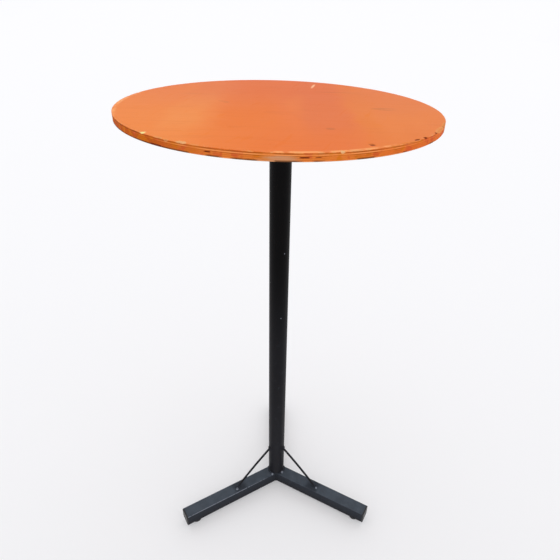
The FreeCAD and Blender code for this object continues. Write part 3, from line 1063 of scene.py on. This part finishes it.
# the photograph's viewpoint
viewLook = {
    "place": (-0.00866, -0.93542, 1.28339),  # metres, in the table's frame
    "yaw": 3.7001,  # degrees, to the right of straight ahead
    "pitch": 32.7242,  # degrees below level
    "roll": 2.5505,
    "focalPixels": 472.527,
    "centrePixels": (300.74, 294.438),  # where the lens axis meets the picture
    "framePixels": 560,
    "sensor": 36.0,
    "clipEnd": 200.0,
}


def addFloor():
    look = stageLook
    bpy.ops.mesh.primitive_plane_add(size=look["floorSize"])
    floor = startPiece("floor")
    bpy.ops.mesh.subdivide(number_cuts=look["floorCuts"])
    far = look["farShare"] * look["floorSize"]
    pick("VERT", lambda vertex: vertex.co.xy.length > far)
    bpy.ops.transform.translate(value=(0, 0, look["farRise"]))
    endPiece()
    bpy.ops.object.shade_smooth()
    finish, root, shader, place = newFinish("paleFloor")
    x, y = axes(place)[:2]
    # lighter with distance on every side, so that no horizon shows
    away = larger(y - look["behind"], look["before"] - y)
    away = larger(away, larger(abs(x) - look["beside"], 0.02))
    tone = look["nearTone"] + look["toneSpan"] * (away / (away + look["toneReach"]))
    green, blue = look["floorHue"]
    cool = root.make("ShaderNodeCombineColor", None, {0: tone, 1: tone * green, 2: tone * blue})
    root.plug(shader, {"Base Color": cool, "Roughness": 0.9, "Specular IOR Level": 0.0})
    shine = root.make("ShaderNodeEmission", None, {"Color": cool, "Strength": 1.0})
    seen = root.make("ShaderNodeLightPath", out="Is Camera Ray")
    lit = Wire(root.tree, shader.outputs[0])
    mix = root.make("ShaderNodeMixShader", None, {0: look["glow"] * seen, 1: lit, 2: shine})
    root.plug(finish.node_tree.nodes["Material Output"], {"Surface": mix})
    floor.data.materials.append(finish)


def addLight():
    look = stageLook
    world = bpy.data.worlds.new("studio")
    bpy.context.scene.world = world
    world.use_nodes = True
    root = Wire(world.node_tree)
    sky = root.make("ShaderNodeBackground", None,
                    {"Color": look["skyTone"], "Strength": look["worldStrength"]})
    # the camera sees a backdrop as pale as the far floor
    backdrop = root.make("ShaderNodeBackground", None, {"Color": look["skyTone"], "Strength": 1.0})
    seen = root.make("ShaderNodeLightPath", out="Is Camera Ray")
    mix = root.make("ShaderNodeMixShader", None, {0: seen, 1: sky, 2: backdrop})
    root.plug(world.node_tree.nodes["World Output"], {"Surface": mix})
    lamp = bpy.data.lights.new("softbox", "SUN")
    lamp.energy = look["sunStrength"]
    lamp.angle = math.radians(look["sunSpread"])
    holder = bpy.data.objects.new("softbox", lamp)
    holder.rotation_euler = (math.radians(-look["sunTilt"]), 0, 0)
    bpy.context.scene.collection.objects.link(holder)


def addCamera():
    look = viewLook
    data = bpy.data.cameras.new("photoCamera")
    size = look["framePixels"]
    data.sensor_width = look["sensor"]
    data.lens = data.sensor_width * look["focalPixels"] / size
    data.shift_x = 0.5 - look["centrePixels"][0] / size
    data.shift_y = look["centrePixels"][1] / size - 0.5
    data.clip_end = look["clipEnd"]
    camera = bpy.data.objects.new("photoCamera", data)
    turn = Matrix.Rotation(math.radians(-look["yaw"]), 4, "Z")
    tilt = Matrix.Rotation(math.radians(90 - look["pitch"]), 4, "X")
    roll = Matrix.Rotation(math.radians(look["roll"]), 4, "Z")
    camera.matrix_world = Matrix.Translation(look["place"]) @ turn @ tilt @ roll
    bpy.context.scene.collection.objects.link(camera)
    bpy.context.scene.camera = camera


wood = stainedPlywood()
paint = blackPaint("blackPaint")
weldPaint = blackPaint("weldPaint", weld=True)
plastic = mouldedPlastic()
zinc = zincPlate()
print("finishes made")

makeBoard(wood)
makeTube(paint)
makeLegs(paint)
makeBraces(paint)
legBeads(weldPaint)
braceBeads(weldPaint)
plateBead(weldPaint)
print("weld beads done")
makeCaps(plastic)
makeScrews(zinc)
makeStuds(zinc)
makePads(plastic)
# the plate and the nuts keep their own shape
kept = {"top_plate": paint, "foot_nut_rear": zinc, "foot_nut_left": zinc, "foot_nut_right": zinc}
for name, finish in kept.items():
    nodes[name].data.materials.clear()
    nodes[name].data.materials.append(finish)

addFloor()
addLight()
addCamera()
bpy.context.scene.view_settings.view_transform = "Standard"
print("stage set")
